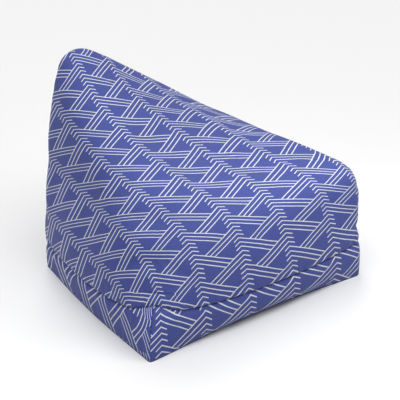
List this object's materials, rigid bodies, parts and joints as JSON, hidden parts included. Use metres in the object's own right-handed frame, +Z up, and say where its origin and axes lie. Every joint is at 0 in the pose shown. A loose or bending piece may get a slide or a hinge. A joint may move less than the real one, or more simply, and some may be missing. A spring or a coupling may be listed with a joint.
{
  "type": "bean bag cover",
  "caption": "Filled rectangular bean bag cover with a low seat, a corner raised to a point as a backrest, and a sewn band round the foot.",
  "frame": {"origin": "on the floor, midway between the four foot corners", "axes": "+Z up; +X along the front edge to the right; +Y from the front edge to the back; the raised corner is at -X +Y"},
  "size_m": [0.9397, 0.7776, 0.7934],
  "materials": {
    "printed_cloth": "matt woven cotton canvas, blue with a cream chevron line print",
    "base_cloth": "matt plain woven cotton, dark blue"
  },
  "bodies": {
    "root": {"top_panel": "printed_cloth", "band_front": "printed_cloth", "band_right": "printed_cloth", "band_back": "printed_cloth", "band_left": "printed_cloth", "base_panel": "base_cloth"}
  },
  "joints": []
}
